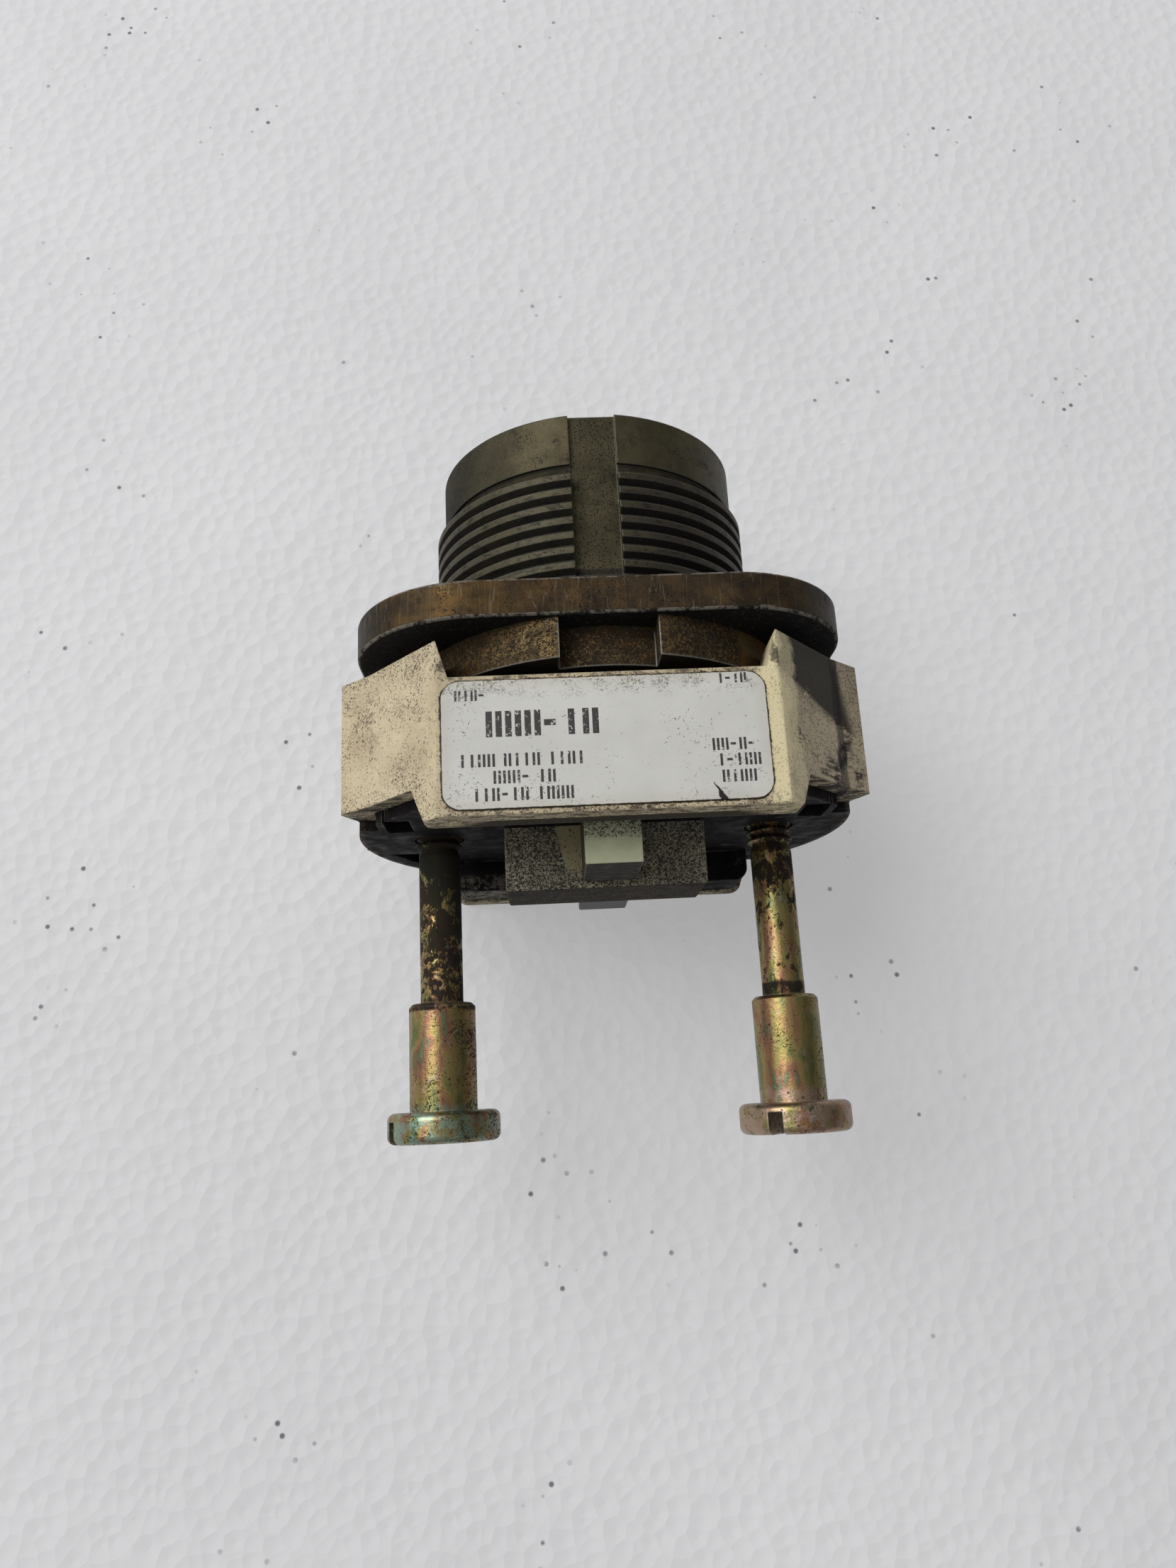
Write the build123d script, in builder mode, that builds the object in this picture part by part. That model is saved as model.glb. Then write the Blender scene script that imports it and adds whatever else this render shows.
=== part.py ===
"""Selector-switch operator for a 30.5 mm panel hole, without its knob or contact blocks.

Frame: +Z is the side with label 1 and the keyway, and the threaded bush points to -Y.
The origin is on the bush axis, in the face of the flange that lies against the panel.
All sizes are millimetres.
"""
import os
from math import cos, radians, sin, sqrt

from build123d import *

# Fits and edges used throughout
RUNNING_FIT = 0.05       # radial clearance of parts that turn or slide
OVERCUT = 1.0            # how far cutting shapes reach past what they cut
EDGE_EASE = 0.35         # rounding of cast and moulded edges

# Bushing: stations along Y and radii
FRONT = -17.4            # front end of the bush
RELIEF = (-12.4, -11.4)  # turned relief between the plain lead-in and the thread
FLANGE_BACK = 3.4
TAIL_END = 10.2
LEAD_R = 14.2
LEAD_CHAMFER = 0.2
RELIEF_R = 13.85
THREAD_R = 15.0
THREAD_PITCH = 25.4 / 18
THREAD_DEPTH = 0.75
CREST = 0.56             # width of the flat on the thread's crest
ROOT = 0.12              # width of the flat at its root
FIRST_CREST = -11.02     # front edge of the first full turn
TURNS = 8
FLANGE_W, FLANGE_H, FLANGE_CORNER = 43.6, 34.8, 11.0
TAIL_R = 13.3
NOSE_RECESS_R = 10.4
NOSE_RECESS = 1.0        # depth of the recess round the shaft seal
SNAP_GROOVE = (9.0, 0.9, 12.8)   # front station, width and floor radius
SNAP_R = 14.7            # outer radius of the snap ring
SNAP_GAP = 7.0           # width of its opening
CAVITY_R = 11.6
CAVITY_FRONT = -9.0
SLEEVE_R = 6.0
KEY_WIDTH = 4.2
KEY_FLOOR = 13.5         # height of the keyway's floor above the axis
KEY_SHELF = 1.3          # the keyway stops this far short of the flange

# Index ring
RING_R = 17.4
RING_BACK = 7.0
RING_NOTCH = 8.3
RING_NOTCH_R = 14.7
RING_TURN = 1.1          # the ring stands a little turned about the bush, degrees

# Moulded cam housing
HALF_H = 17.2            # half height over the two label faces
SHOULDER_X = 14.0        # corner between label face and slanted facet
CREASE = (20.4, 9.85)
TIP = (23.3, 7.35)
WAIST = (22.1, 4.8)
WING_FRONT = 5.3
WALL_FRONT = 8.5         # front edge of the label wall, cut back behind the ring
WING_BACK = 17.1
WALL_BACK = 20.1
FAR_WALL_BACK = 21.4
FRONT_PLATE = (RING_BACK, 9.0)
WALL_IN = 13.6           # inner face of the label walls
THIN_WALL = 1.8          # thickness of the side 2 wall behind the wings
INNER_SHOULDER = (14.65, WALL_IN)
INNER_CREASE = (20.3, 7.5)
PLUG_FIT = 0.1           # gap between the rear base's plug and the housing
OUTER_EASE = 0.45        # rounding of the housing's long edges
RING_SEAT_FIT = 0.2
SNAP_ROOM = (14.9, 1.5)  # radius and depth of the room for the snap ring
WALL_LAP = 4.0           # how far the label walls run forward into the wings
CUT_WIDE, CUT_NARROW = 13.95, 13.0    # half widths of the cut-backs at front and rear
TAPER_CORNER, TAPER_SLANT = 16.3, 0.36    # side trim of the walls: half width and slope
CUT_FLOOR = 10.5         # depth of the cut-backs that bare the ring, above the axis
REAR_CORNER = 0.7        # rounding of the label walls' rear corners

# Rear base
BASE_R = 22.5
BASE_BACK = 18.1
BASE_PLUG_FRONT = 13.0
BOSS_FRONT = 10.7
BOSS_R = 11.3
RAIL_TOP = -10.0         # upper face of the rail beside the side 2 wall
RAIL_FOOT = -15.4        # its lower face, and the lower edge of the base
RAIL_SIZE = (29.8, 4.1)  # length along X, and width from the wings' rear faces
RAIL_CORNER = 1.3
INSERT_R = 3.2           # threaded inserts: outer and bore radius
INSERT_BORE_R = 2.14
SCREW_HOLE_R = 2.3
POCKET = (2.3, 4.6, 2.5)              # width, height and depth of the square pockets
POCKET_CENTRE = (18.4, 6.0)
CORNER_POCKET = [(17.9, -5.4), (20.7, -5.0), (18.4, -9.8)]
CORNER_POCKET_DEPTH = 1.6

# Plungers and their guide
PLUNGER_Z = 8.0          # distance of each plunger's centre line from the axis
PLUNGER_W = 4.8
PLUNGER_T = 7.8
PLUNGER_END = 23.3
STEM_R = 2.2
HEAD_FRONT = 15.0
SPRING_SEAT = 6.0        # rear face of the collar that the return spring pushes on
COLLAR_R, COLLAR_T = 3.3, 0.8
PLUNGER_EASE = 0.25      # rounding of the plungers' ends
WAY_FIT = 0.12           # sideways clearance of a plunger in its way
RETURN_SPRING = (2.75, 0.22, 4)       # coil radius, wire radius and turns
DETENT_SPRING = (1.1, 0.18, 5)
GUIDE_W, GUIDE_T, GUIDE_BACK, GUIDE_X = 18.0, 8.0, 23.85, 0.25
GUIDE_SEAT = 17.0        # floor of the recess that the guide block stands in

# Rotor
SHAFT_R = 4.0
SHAFT_FRONT = -21.2
STUB_R = 3.175           # quarter-inch stub that the knob's grub screw grips
STUB_BACK = -17.4
ROTOR_R = 11.0
ROTOR_FRONT = -8.2
SWASH_CENTRE = 1.0       # station where the tilted cam face crosses the axis
TRAVEL = 2.4             # plunger stroke from centre at the selector's limit
THROW = 45               # selector angle each side of centre
SWASH_SLOPE = TRAVEL / (PLUNGER_Z * sin(radians(THROW)))
NOSE_GAP = 0.15
NOSE_Y = SWASH_CENTRE + (STEM_R + NOSE_GAP) * sqrt(1 + SWASH_SLOPE**2)
STOP_HALF = 10           # half angle of the stop tab, degrees
STOP_SPARE = 0.4         # spare angle past each end of the tab's swing, degrees
STOP_R = 12.3
STOP_TAB = (3.7, 2, 3)   # width, height and length
DETENT_CIRCLE = 9.0
BALL_R = 1.5
DETENT_DEPTH = 5.5       # depth of the pockets for the detent springs
DIMPLE_DEPTH = 0.5
BALL_GAP = 0.06

# Block-mounting screws
SCREW_X = 15.4
SHANK_R, BARREL_R, HEAD_R = 1.9, 2.95, 4.9
THREAD_LENGTH, SHANK_END, BARREL_END, SCREW_LENGTH = 7.0, 20.2, 29.4, 32.0    # from the tip
HEAD_ROUND = 0.65
SCREW_PITCH = 0.79
SCREW_CREST_R, SCREW_ROOT_R = 2.085, 1.65
CREST_FROM, CREST_TO, ROOT_FROM = 0.30, 0.42, 0.72    # corners of one thread turn, from its start
BARREL_BEVEL = 0.3
SLOT_W, SLOT_DEPTH = 1.3, 1.9
SCREWS = {"screw_left": (SCREW_X, 12.85, 27.6),
          "screw_right": (-SCREW_X, 13.6, 58.0)}    # axis, station of the tip, slot angle

LABEL_T = 0.15
LABEL_X = (-12.65, 13.55)
LABEL_Y = (8.95, 19.6)
LABEL_CORNER = 1.5

os.makedirs("parts", exist_ok=True)


def at_y(y):
    """Plane across the bush axis at station y, local x to +X and local y to +Z."""
    return Plane.XZ.offset(-y)


def save(builder, name):
    builder.part.label = name
    export_step(builder.part, f"parts/{name}.step")


def back(length):
    """Extrusion amount that runs towards +Y from a plane made by at_y."""
    return -length


def outline(points, plane=Plane.XY):
    """Closed straight-sided face on a plane; on Plane.XY the points are (radius, y) for turning."""
    with BuildSketch(plane) as face:
        with BuildLine():
            Polyline(*points, close=True)
        make_face()
    return face.sketch


def disc(y, radius, inner=0.0, centres=((0, 0),)):
    """Round or ring-shaped faces across the bush axis at station y."""
    with BuildSketch(at_y(y)) as face:
        with Locations(*centres):
            Circle(radius)
            if inner:
                Circle(inner, mode=Mode.SUBTRACT)
    return face.sketch


def block(y, width, height, centre=(0, 0)):
    """Rectangle across the bush axis at station y, width along X and height along Z."""
    with BuildSketch(at_y(y)) as face:
        with Locations(centre):
            Rectangle(width, height)
    return face.sketch


# ---------------------------------------------------------------- bushing
ROOT_R = THREAD_R - THREAD_DEPTH
DETENT_CENTRES = [(DETENT_CIRCLE, 0), (-DETENT_CIRCLE, 0)]


def flange_outline():
    """Nearly square flange with large round corners."""
    with BuildSketch(at_y(0)) as face:
        RectangleRounded(FLANGE_W, FLANGE_H, FLANGE_CORNER)
    return face.sketch


def stop_slot_outline():
    """Sector below the axis that the rotor's stop tab swings in."""
    span = THROW + STOP_HALF + STOP_SPARE
    ends = [(STOP_R * cos(radians(a)), STOP_R * sin(radians(a))) for a in (-90 - span, -90 + span)]
    with BuildSketch(at_y(TAIL_END)) as face:
        with BuildLine():
            CenterArc((0, 0), STOP_R, -90 - span, 2 * span)
            Line(ends[0], (0, 0))
            Line((0, 0), ends[1])
        make_face()
    return face.sketch


def bush_outline():
    """Half section of the bush's outside, the thread's turns drawn as rings of the thread's section."""
    flank = (THREAD_PITCH - CREST - ROOT) / 2
    points = [(0, FRONT), (LEAD_R - LEAD_CHAMFER, FRONT), (LEAD_R, FRONT + LEAD_CHAMFER),
              (LEAD_R, RELIEF[0]), (RELIEF_R, RELIEF[0]), (RELIEF_R, RELIEF[1]),
              (ROOT_R, RELIEF[1])]
    for turn in range(TURNS):
        crest = FIRST_CREST + turn * THREAD_PITCH
        points += [(THREAD_R, crest), (THREAD_R, crest + CREST)]
        if turn < TURNS - 1:
            points += [(ROOT_R, crest + CREST + flank), (ROOT_R, crest + CREST + flank + ROOT)]
    middle = FLANGE_BACK / 2
    return outline(points + [(THREAD_R, middle), (0, middle)])


with BuildPart() as flange:
    extrude(flange_outline(), amount=back(FLANGE_BACK))
    fillet([e for e in flange.edges() if abs(e.tangent_at(0).Y) < 0.1], EDGE_EASE)

with BuildPart() as bushing:
    revolve(bush_outline(), axis=Axis.Y)
    add(flange.part)
    extrude(disc(0, TAIL_R), amount=back(TAIL_END))
    # keyway, ending on a shelf before the flange
    key_height = THREAD_R - KEY_FLOOR + OVERCUT
    extrude(block(FRONT, KEY_WIDTH, key_height, (0, KEY_FLOOR + key_height / 2)),
            amount=back(-FRONT - KEY_SHELF), mode=Mode.SUBTRACT)
    # stepped bore: front recess, sleeve seat, rotor cavity; snap-ring groove round the tail
    extrude(disc(FRONT, NOSE_RECESS_R), amount=back(NOSE_RECESS), mode=Mode.SUBTRACT)
    extrude(disc(FRONT, SLEEVE_R), amount=back(TAIL_END - FRONT), mode=Mode.SUBTRACT)
    extrude(disc(CAVITY_FRONT, CAVITY_R), amount=back(TAIL_END - CAVITY_FRONT), mode=Mode.SUBTRACT)
    extrude(disc(SNAP_GROOVE[0], TAIL_R + OVERCUT, inner=SNAP_GROOVE[2]), amount=back(SNAP_GROOVE[1]),
            mode=Mode.SUBTRACT)
    # slot for the stop tab, and two pockets for the detent balls and springs
    extrude(stop_slot_outline(), amount=TAIL_END - CAVITY_FRONT, mode=Mode.SUBTRACT)
    extrude(disc(CAVITY_FRONT, BALL_R + RUNNING_FIT, centres=DETENT_CENTRES), amount=DETENT_DEPTH,
            mode=Mode.SUBTRACT)
save(bushing, "bushing")

# ---------------------------------------------------------------- index ring and snap ring
with BuildPart() as index_ring:
    extrude(disc(FLANGE_BACK, RING_R), amount=back(RING_BACK - FLANGE_BACK))
    notch_mid = (RING_R + RING_NOTCH_R) / 2
    with BuildSketch(at_y(FLANGE_BACK)):
        with PolarLocations(notch_mid, 4, start_angle=RING_TURN):
            Rectangle(RING_R - RING_NOTCH_R + 2 * OVERCUT, RING_NOTCH)
    extrude(amount=back(RING_BACK - FLANGE_BACK), mode=Mode.SUBTRACT)
    extrude(disc(FLANGE_BACK, RING_NOTCH_R), amount=back(RING_BACK - FLANGE_BACK))
    extrude(disc(FLANGE_BACK, TAIL_R), amount=back(RING_BACK - FLANGE_BACK), mode=Mode.SUBTRACT)
save(index_ring, "index_ring")

with BuildPart() as housing_snap_ring:
    extrude(disc(SNAP_GROOVE[0], SNAP_R, inner=SNAP_GROOVE[2]), amount=back(SNAP_GROOVE[1]))
    extrude(block(SNAP_GROOVE[0], SNAP_GAP, SNAP_GAP, (0, -SNAP_R)), amount=back(SNAP_GROOVE[1]),
            mode=Mode.SUBTRACT)
save(housing_snap_ring, "housing_snap_ring")


# ---------------------------------------------------------------- cam housing
def octagon(right_side, y, rounding=0.0):
    """Outline across the axis from its right-hand points, mirrored to the left."""
    points = right_side + [(-x, z) for x, z in reversed(right_side)]
    with BuildSketch(at_y(y)) as face:
        with BuildLine():
            Polyline(*points, close=True)
        make_face()
        if rounding:
            fillet(face.vertices(), rounding)
    return face.sketch


def mirrored_down(points):
    """A quarter outline going down to the mid-plane, continued as its mirror image."""
    return points + [(x, -z) for x, z in reversed(points)]


facet_run = (CREASE[0] - SHOULDER_X) / (HALF_H - CREASE[1])     # x gained per unit of drop
OUTER = mirrored_down([(SHOULDER_X, HALF_H), CREASE, TIP, WAIST])
INNER = mirrored_down([INNER_SHOULDER, INNER_CREASE])
PLUG = mirrored_down([(x - PLUG_FIT, z - PLUG_FIT) for x, z in (INNER_SHOULDER, INNER_CREASE)])


def wall_strip(outer_z, inner_z, y):
    """Label wall across the axis, bounded by the label face and the two facets."""
    edge = SHOULDER_X + abs(outer_z - inner_z) * facet_run
    return outline([(SHOULDER_X, outer_z), (edge, inner_z), (-edge, inner_z), (-SHOULDER_X, outer_z)],
                   at_y(y))


def front_cut():
    """Plan of the cut-back in front of a label wall, narrowing towards the wall."""
    return outline([(-CUT_WIDE, WING_FRONT), (CUT_WIDE, WING_FRONT), (CUT_NARROW, WALL_FRONT),
                    (-CUT_NARROW, WALL_FRONT)], Plane.XY.offset(CUT_FLOOR))


def rear_taper(side):
    """Plan of what is trimmed from one side of the walls behind the wings."""
    end = FAR_WALL_BACK + OVERCUT
    clear = side * CREASE[0]
    return outline([(side * TAPER_CORNER, WING_BACK),
                    (side * (TAPER_CORNER - TAPER_SLANT * (end - WING_BACK)), end),
                    (clear, end), (clear, WING_BACK)], Plane.XY.offset(-HALF_H - OVERCUT))


with BuildPart() as label_walls:
    start = WING_BACK - WALL_LAP
    extrude(wall_strip(HALF_H, WALL_IN, start), amount=back(WALL_BACK - start))
    extrude(wall_strip(-HALF_H, THIN_WALL - HALF_H, start), amount=back(FAR_WALL_BACK - start))
    for side in (-1, 1):
        extrude(rear_taper(side), amount=2 * (HALF_H + OVERCUT), mode=Mode.SUBTRACT)
    corners = label_walls.edges().filter_by(Axis.Z).filter_by(lambda e: e.center().Y > WING_BACK + 1)
    fillet(corners, REAR_CORNER)

with BuildPart() as cam_housing:
    extrude(octagon(OUTER, WING_FRONT, rounding=OUTER_EASE), amount=back(WING_BACK - WING_FRONT))
    extrude(octagon(INNER, FRONT_PLATE[1]), amount=back(WING_BACK - FRONT_PLATE[1]),
            mode=Mode.SUBTRACT)
    add(label_walls.part)
    # seat for the index ring, bore for the bush tail, room for the snap ring
    extrude(disc(WING_FRONT, RING_R + RING_SEAT_FIT), amount=back(RING_BACK - WING_FRONT),
            mode=Mode.SUBTRACT)
    extrude(disc(WING_FRONT, TAIL_R), amount=back(TAIL_END - WING_FRONT), mode=Mode.SUBTRACT)
    extrude(disc(FRONT_PLATE[1], SNAP_ROOM[0]), amount=back(SNAP_ROOM[1]), mode=Mode.SUBTRACT)
    # cut-backs that bare the ring at both label faces
    cut_height = HALF_H - CUT_FLOOR + OVERCUT
    extrude(front_cut(), amount=cut_height, mode=Mode.SUBTRACT)
    extrude(front_cut().translate((0, 0, -2 * CUT_FLOOR - cut_height)), amount=cut_height,
            mode=Mode.SUBTRACT)
save(cam_housing, "cam_housing")

# ---------------------------------------------------------------- label plates
for name, base in (("label_side_1", HALF_H), ("label_side_2", -HALF_H - LABEL_T)):
    middle = (sum(LABEL_X) / 2, sum(LABEL_Y) / 2)
    with BuildPart() as label:
        with BuildSketch(Plane.XY.offset(base)):
            with Locations(middle):
                RectangleRounded(LABEL_X[1] - LABEL_X[0], LABEL_Y[1] - LABEL_Y[0], LABEL_CORNER)
        extrude(amount=LABEL_T)
    save(label, name)


# ---------------------------------------------------------------- rear base
def base_plate():
    """Rear plate: round below the side 1 wings, inside the housing above them."""
    with BuildSketch(at_y(WING_BACK)) as face:
        Circle(BASE_R)
        with Locations((0, (WAIST[1] + RAIL_FOOT) / 2)):
            Rectangle(3 * BASE_R, WAIST[1] - RAIL_FOOT, mode=Mode.INTERSECT)
    return face.sketch


def rail():
    """Rail along the inside of the side 2 wall, its rear corners rounded."""
    with BuildSketch(Plane.XY.offset(RAIL_FOOT)) as face:
        with Locations((0, WING_BACK)):
            Rectangle(RAIL_SIZE[0], RAIL_SIZE[1], align=(Align.CENTER, Align.MIN))
        fillet(face.vertices().group_by(Axis.Y)[-1], RAIL_CORNER)
    return face.sketch


STEM_CENTRES = [(0, PLUNGER_Z), (0, -PLUNGER_Z)]
SCREW_CENTRES = [(SCREW_X, 0), (-SCREW_X, 0)]
STEM_FLOOR = 12.2        # rear face of the wall that guides the stems
INSERT_BACK = 17.5
TENON = (12, 5, 14.5)    # width, height and front station of the guide block's tenon
WAY_T = 2 * PLUNGER_Z - GUIDE_T     # the plungers' ways open onto the guide block

with BuildPart() as rear_base:
    extrude(octagon(PLUG, BASE_PLUG_FRONT), amount=back(BASE_BACK - BASE_PLUG_FRONT))
    extrude(base_plate(), amount=back(BASE_BACK - WING_BACK))
    extrude(disc(BOSS_FRONT, BOSS_R), amount=back(BASE_PLUG_FRONT + OVERCUT - BOSS_FRONT))
    extrude(rail(), amount=RAIL_TOP - RAIL_FOOT)
    for centre in STEM_CENTRES:
        extrude(disc(BOSS_FRONT, STEM_R + RUNNING_FIT, centres=[centre]),
                amount=back(STEM_FLOOR - BOSS_FRONT), mode=Mode.SUBTRACT)
        extrude(block(STEM_FLOOR, PLUNGER_W + WAY_FIT, WAY_T, centre),
                amount=back(BASE_BACK + RAIL_SIZE[1] - STEM_FLOOR), mode=Mode.SUBTRACT)
    extrude(disc(BASE_PLUG_FRONT, INSERT_R, centres=SCREW_CENTRES),
            amount=back(INSERT_BACK - BASE_PLUG_FRONT), mode=Mode.SUBTRACT)
    extrude(disc(BASE_PLUG_FRONT, SCREW_HOLE_R, centres=SCREW_CENTRES),
            amount=back(BASE_BACK - BASE_PLUG_FRONT), mode=Mode.SUBTRACT)
    extrude(block(TENON[2], TENON[0], TENON[1], (GUIDE_X, 0)), amount=back(BASE_BACK - TENON[2]),
            mode=Mode.SUBTRACT)
    extrude(block(GUIDE_SEAT, GUIDE_W, GUIDE_T, (GUIDE_X, 0)), amount=back(BASE_BACK - GUIDE_SEAT),
            mode=Mode.SUBTRACT)
    # moulded pockets beside the screws: square above, three-sided below on one side
    for side in (-1, 1):
        centre = (side * POCKET_CENTRE[0], POCKET_CENTRE[1])
        extrude(block(BASE_BACK - POCKET[2], POCKET[0], POCKET[1], centre), amount=back(POCKET[2]),
                mode=Mode.SUBTRACT)
    extrude(outline(CORNER_POCKET, at_y(BASE_BACK - CORNER_POCKET_DEPTH)),
            amount=back(CORNER_POCKET_DEPTH), mode=Mode.SUBTRACT)
save(rear_base, "rear_base")

# ---------------------------------------------------------------- plunger guide
with BuildPart() as plunger_guide:
    extrude(block(GUIDE_SEAT, GUIDE_W, GUIDE_T, (GUIDE_X, 0)), amount=back(GUIDE_BACK - GUIDE_SEAT))
    rear_face = plunger_guide.faces().sort_by(Axis.Y)[-1]
    fillet(rear_face.edges(), EDGE_EASE)
    extrude(block(TENON[2], TENON[0], TENON[1], (GUIDE_X, 0)), amount=back(GUIDE_SEAT - TENON[2]))
save(plunger_guide, "plunger_guide")


# ---------------------------------------------------------------- plungers and their springs
def coil(spring, start, length, centre):
    """Compression spring: round wire on a helix along +Y, centred on (x, z)."""
    radius, wire, turns = spring
    first = (centre[0], start + wire, centre[1])
    with BuildPart() as winding:
        with BuildLine() as path:
            Helix(pitch=(length - 2 * wire) / turns, height=length - 2 * wire, radius=radius,
                  center=first, direction=(0, 1, 0))
        with BuildSketch(Plane(origin=path.line @ 0, z_dir=path.line % 0)):
            Circle(wire)
        sweep(path=path.line, is_frenet=True)
    return winding


for name, spring_name, level in (("white_plunger", "white_return_spring", PLUNGER_Z),
                                 ("black_plunger", "black_return_spring", -PLUNGER_Z)):
    with BuildPart() as plunger:
        extrude(block(HEAD_FRONT, PLUNGER_W, PLUNGER_T, (0, level)),
                amount=back(PLUNGER_END - HEAD_FRONT))
        end_face = plunger.faces().sort_by(Axis.Y)[-1]
        fillet(end_face.edges(), PLUNGER_EASE)
        extrude(disc(NOSE_Y, STEM_R, centres=[(0, level)]), amount=back(HEAD_FRONT - NOSE_Y))
        extrude(disc(SPRING_SEAT - COLLAR_T, COLLAR_R, centres=[(0, level)]), amount=back(COLLAR_T))
        with Locations((0, NOSE_Y, level)):
            Sphere(STEM_R)
    save(plunger, name)
    save(coil(RETURN_SPRING, SPRING_SEAT, BOSS_FRONT - SPRING_SEAT, (0, level)), spring_name)

# ---------------------------------------------------------------- selector shaft and its fittings
COLLAR = (5.5, -8.35, -6.8)       # radius, front and rear stations
REAR_SHAFT_R = 3.0
SHAFT_END = 7.0
PIN_Y, PIN_R, PIN_HALF = -3.5, 0.8, 6.5
CLIP = (5.85, 6.55, 2.5, 4.2)     # front, rear, inner and outer radius
HUB_R, HUB_END = 4.4, 5.8
GRUB_DIMPLE = (0.9, 0.4)          # ball radius, and how far its centre stands off the stub
BEARING = (-13.9, 4.9)            # front station and length
SEAL_LENGTH, SEAL_FIT, SEAL_LIP = 2.2, 0.03, 0.5
WASHER = (6.8, 0.6)               # radius and thickness
CLIP_GAP = 3.6


def cross_hole(length):
    """Round face on the YZ plane for the pin through rotor and shaft."""
    with BuildSketch(Plane.YZ.offset(-length / 2)) as face:
        with Locations((PIN_Y, 0)):
            Circle(PIN_R)
    return face.sketch


with BuildPart() as selector_shaft:
    revolve(outline([(0, SHAFT_FRONT), (STUB_R, SHAFT_FRONT), (STUB_R, STUB_BACK),
                     (SHAFT_R, STUB_BACK), (SHAFT_R, COLLAR[1]), (COLLAR[0], COLLAR[1]),
                     (COLLAR[0], COLLAR[2]),
                     (REAR_SHAFT_R, COLLAR[2]), (REAR_SHAFT_R, CLIP[0]), (CLIP[2], CLIP[0]),
                     (CLIP[2], CLIP[1]), (REAR_SHAFT_R, CLIP[1]), (REAR_SHAFT_R, SHAFT_END),
                     (0, SHAFT_END)]), axis=Axis.Y)
    with Locations((0, (SHAFT_FRONT + STUB_BACK) / 2, STUB_R + GRUB_DIMPLE[1])):
        Sphere(GRUB_DIMPLE[0], mode=Mode.SUBTRACT)     # for the point of the grub screw
    extrude(cross_hole(2 * PIN_HALF), amount=2 * PIN_HALF, mode=Mode.SUBTRACT)
save(selector_shaft, "selector_shaft")

with BuildPart() as shaft_bearing:
    extrude(disc(BEARING[0], SLEEVE_R, inner=SHAFT_R + RUNNING_FIT), amount=back(BEARING[1]))
save(shaft_bearing, "shaft_bearing")

with BuildPart() as shaft_seal:
    extrude(disc(FRONT + NOSE_RECESS, SLEEVE_R, inner=SHAFT_R + SEAL_FIT), amount=back(SEAL_LENGTH))
    fillet(shaft_seal.edges().group_by(Axis.Y)[0], SEAL_LIP)
save(shaft_seal, "shaft_seal")

with BuildPart() as thrust_washer:
    extrude(disc(CAVITY_FRONT, WASHER[0], inner=SHAFT_R + RUNNING_FIT), amount=back(WASHER[1]))
save(thrust_washer, "thrust_washer")

with BuildPart() as shaft_clip:
    extrude(disc(CLIP[0], CLIP[3], inner=CLIP[2]), amount=back(CLIP[1] - CLIP[0]))
    extrude(block(CLIP[0], CLIP_GAP, 2 * CLIP[3], (0, -CLIP[3])), amount=back(CLIP[1] - CLIP[0]),
            mode=Mode.SUBTRACT)
save(shaft_clip, "shaft_clip")

with BuildPart() as rotor_pin:
    extrude(cross_hole(2 * PIN_HALF), amount=2 * PIN_HALF)
save(rotor_pin, "rotor_pin")

# ---------------------------------------------------------------- cam rotor
def above_swash():
    """Side view of everything behind the tilted cam face."""
    reach = ROTOR_R + OVERCUT
    return outline([(-reach, SWASH_CENTRE + SWASH_SLOPE * reach),
                    (reach, SWASH_CENTRE - SWASH_SLOPE * reach), (reach, TAIL_END),
                    (-reach, TAIL_END)], Plane.XY.offset(-reach))


DIMPLE_ANGLES = [base + step for base in (0, 180) for step in (-THROW, 0, THROW)]

with BuildPart() as cam_rotor:
    extrude(disc(ROTOR_FRONT, ROTOR_R), amount=back(HUB_END - ROTOR_FRONT))
    extrude(above_swash(), amount=2 * (ROTOR_R + OVERCUT), mode=Mode.SUBTRACT)
    extrude(disc(PIN_Y, HUB_R), amount=back(HUB_END - PIN_Y))
    extrude(block(ROTOR_FRONT, STOP_TAB[0], STOP_TAB[1], (0, -ROTOR_R)), amount=back(STOP_TAB[2]))
    extrude(disc(ROTOR_FRONT, REAR_SHAFT_R), amount=back(HUB_END - ROTOR_FRONT), mode=Mode.SUBTRACT)
    extrude(disc(ROTOR_FRONT, COLLAR[0] + 2 * RUNNING_FIT), amount=back(COLLAR[2] - ROTOR_FRONT),
            mode=Mode.SUBTRACT)
    extrude(cross_hole(2 * PIN_HALF), amount=2 * PIN_HALF, mode=Mode.SUBTRACT)
    dimples = [(DETENT_CIRCLE * cos(radians(a)), ROTOR_FRONT - BALL_R + DIMPLE_DEPTH,
                DETENT_CIRCLE * sin(radians(a))) for a in DIMPLE_ANGLES]
    with Locations(*dimples):
        Sphere(BALL_R, mode=Mode.SUBTRACT)
save(cam_rotor, "cam_rotor")

# ---------------------------------------------------------------- detents
BALL_Y = ROTOR_FRONT - BALL_R - BALL_GAP

with BuildPart() as detent_balls:
    with Locations(*[(x, BALL_Y, z) for x, z in DETENT_CENTRES]):
        Sphere(BALL_R)
save(detent_balls, "detent_balls")

SPRING_FRONT = CAVITY_FRONT - DETENT_DEPTH
springs = [coil(DETENT_SPRING, SPRING_FRONT, BALL_Y - BALL_R - SPRING_FRONT, centre).part
           for centre in DETENT_CENTRES]
with BuildPart() as detent_springs:
    add(springs)
save(detent_springs, "detent_springs")

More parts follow.
